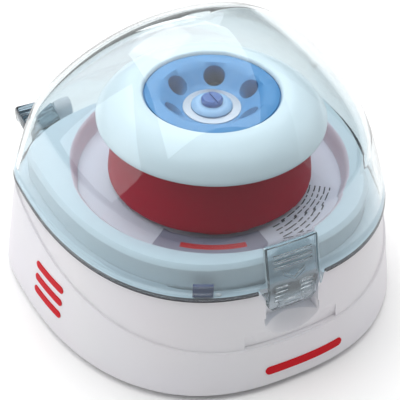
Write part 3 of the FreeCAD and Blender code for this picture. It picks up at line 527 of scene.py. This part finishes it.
# (radius, height) corners in mm and how far from each the curve starts
rotorCap = dict(
    corners=[(24.6, 83.1), (25.3, 84.75), (30.6, 84.95), (37.9, 81.2), (41.9, 76.2), (42.05, 74.6),
             (39.0, 74.5), (40.1, 76.0), (36.3, 79.4), (30.4, 82.9)],
    reaches=[0.5, 0.7, 5.0, 5.5, 3.5, 0.5, 0.3, 1, 4, 2.0])
rotorSkirt = dict(
    corners=[(39.3, 74.35), (39.3, 73.1), (35.5, 73.0), (38.75, 51.4), (38.75, 49.6), (37.3, 48.55),
             (33.9, 48.55), (33.9, 49.8), (37.2, 50.6), (34.2, 73.6), (34.2, 74.35)],
    reaches=[0.3, 0.3, 1, 3, 1.2, 1.2, 0.3, 0.3, 1, 0.5, 0.2])
capPiece = turnedPiece("rotorCap", roundedOutline(rotorCap["corners"], rotorCap["reaches"]))
finishPiece(capPiece, finishes["cap"], "rotor", ["rotor_cap"])
skirtPiece = turnedPiece("rotorSkirt", roundedOutline(rotorSkirt["corners"], rotorSkirt["reaches"]))
finishPiece(skirtPiece, finishes["skirt"], "rotor", ["rotor_skirt"])
print("rotor turned")

ringPrint = dict(z=47.24, rise=0.03, patch=(-53.0, 1.0), patchRadii=(37.6, 47.2), barRadii=(41.2, 43.6),
                 bar=(-41.0, -9.0), lineBearings=(9.0, 52.0), lineRadii=(38.9, 40.8, 42.7, 44.6, 46.5),
                 lineWidth=0.5, wordLengths=(5, 3, 7, 4, 6, 2, 8, 4, 5, 7, 3), gap=1.6, wordsInLine=7,
                 shiftPerLine=3, wordSteps=6)


def arcBand(name, bearings, radii, z, steps=40, rings=4):
    # bearing runs along the band and radius across it; the band is one flat skin
    bearing = np.radians(np.linspace(*bearings, steps))[None, :]
    radius = np.linspace(*radii, rings)[:, None] + 0 * bearing
    return fixUpwards(meshFromGrid(name, aroundAxis(radius, bearing + 0 * radius, z), closeAcross=False))


def fixUpwards(piece):  # a flat skin looks up
    normals = np.empty(len(piece.data.polygons) * 3)
    piece.data.polygons.foreach_get("normal", normals)
    if normals[2::3].mean() < 0:
        piece.data.flip_normals()
    return piece


def printedWords():
    # word-long dashes laid along five rings; each word is a share of its line's length
    lengths = np.array(ringPrint["wordLengths"], float)
    gap, half, steps = ringPrint["gap"], ringPrint["lineWidth"] / 2, ringPrint["wordSteps"]
    low, high = np.radians(ringPrint["lineBearings"])
    grids = []
    for number, radius in enumerate(ringPrint["lineRadii"]):
        words = np.roll(lengths, number * ringPrint["shiftPerLine"])[:ringPrint["wordsInLine"] + number % 2]
        starts = np.concatenate([[0], np.cumsum(words + gap)])
        shares = np.stack([starts[:-1], starts[:-1] + words], 1) / (starts[-1] - gap)
        along = shares[:, :1] + (shares[:, 1:] - shares[:, :1]) * np.linspace(0, 1, steps)[None, :]
        bearing = (low + (high - low) * along)[:, None, :]
        across = np.array([radius - half, radius + half])[None, :, None]
        grids.append(aroundAxis(across + 0 * bearing, bearing + 0 * across, ringPrint["z"]))
    points = np.concatenate(grids)  # words x 2 sides x steps x 3
    corner = (np.arange(len(points))[:, None] * 2 * steps + np.arange(steps - 1)[None, :]).reshape(-1, 1)
    faces = np.concatenate([corner, corner + 1, corner + steps + 1, corner + steps], 1)
    mesh = bpy.data.meshes.new("ringWords")
    mesh.from_pydata(points.reshape(-1, 3).tolist(), [], faces.tolist())
    return fixUpwards(finishMesh("ringWords", mesh))


patchZ = ringPrint["z"] - ringPrint["rise"]
patchPiece = arcBand("ringPatch", ringPrint["patch"], ringPrint["patchRadii"], patchZ)
finishPiece(patchPiece, finishes["labelDark"], "base", ["label_block"])
barPiece = arcBand("ringBar", ringPrint["bar"], ringPrint["barRadii"], ringPrint["z"])
finishPiece(barPiece, finishes["badge"], "base", None)
finishPiece(printedWords(), finishes["ink"], "base", None)
print("ring print laid")

studio = dict(
    floor="fdfdfd", floorHalf=6, world=0.24, aim=(0, 0, 0.06),
    # name, place and size in metres, watts, and whether it shows in reflections
    panels=[("overheadPanel", (0.1, 0.5, 2.0), 2.6, 48.0, False),
            ("leftPanel", (-1.2, 0.5, 0.7), 1.0, 6.5, False),
            ("backPanel", (0.5, 1.3, 0.8), 1.0, 4.2, False),
            ("rightPanel", (1.2, -0.3, 0.6), 1.0, 2.2, False),
            ("glintPanel", (-0.15, 0.75, 0.95), 0.45, 0.5, True)])
floorMesh = bpy.data.meshes.new("studioFloor")
floorCorners = np.array([(-1, -1, 0), (1, -1, 0), (1, 1, 0), (-1, 1, 0)]) * studio["floorHalf"]
floorMesh.from_pydata(floorCorners.tolist(), [], [(0, 1, 2, 3)])
floorPiece = bpy.data.objects.new("studioFloor", floorMesh)
bpy.context.scene.collection.objects.link(floorPiece)
floorMaterial, _, floorShader = newMaterial("palePaintedFloor")
floorShader.inputs["Base Color"].default_value = tone(studio["floor"])
floorShader.inputs["Roughness"].default_value = 0.9
floorMesh.materials.append(floorMaterial)
world = bpy.data.worlds.new("softStudioWorld")
world.use_nodes = True
world.node_tree.nodes["Background"].inputs["Color"].default_value = (1, 1, 1, 1)
world.node_tree.nodes["Background"].inputs["Strength"].default_value = studio["world"]
bpy.context.scene.world = world
bpy.context.scene.view_settings.view_transform = "Standard"
for name, place, size, power, shows in studio["panels"]:
    lampData = bpy.data.lights.new(name, "AREA")
    lampData.shape, lampData.size, lampData.energy = "SQUARE", size, power
    lamp = bpy.data.objects.new(name, lampData)
    lamp.location = place
    lamp.rotation_euler = (Vector(studio["aim"]) - Vector(place)).to_track_quat("-Z", "Y").to_euler()
    lamp.visible_glossy = shows
    bpy.context.scene.collection.objects.link(lamp)

# angles in degrees, place in mm, focal length for Blender's 36 mm sensor
camera = dict(azimuth=-26.87, elevation=42.63, roll=1.2, place=(-142.5, -262.8, 297.5), focal=91.125,
              shift=(0.0263, 0.052), nearest=0.01)
cameraData = bpy.data.cameras.new("studioCamera")
cameraData.lens = camera["focal"]
cameraData.shift_x, cameraData.shift_y = camera["shift"]
cameraData.clip_start = camera["nearest"]
cameraPiece = bpy.data.objects.new("studioCamera", cameraData)
look = (Matrix.Rotation(math.radians(camera["azimuth"]), 4, "Z")
        @ Matrix.Rotation(math.radians(90 - camera["elevation"]), 4, "X")
        @ Matrix.Rotation(math.radians(camera["roll"]), 4, "Z"))
cameraPiece.matrix_world = Matrix.Translation(Vector(camera["place"]) * mm) @ look
bpy.context.scene.collection.objects.link(cameraPiece)
bpy.context.scene.camera = cameraPiece
print("studio ready")
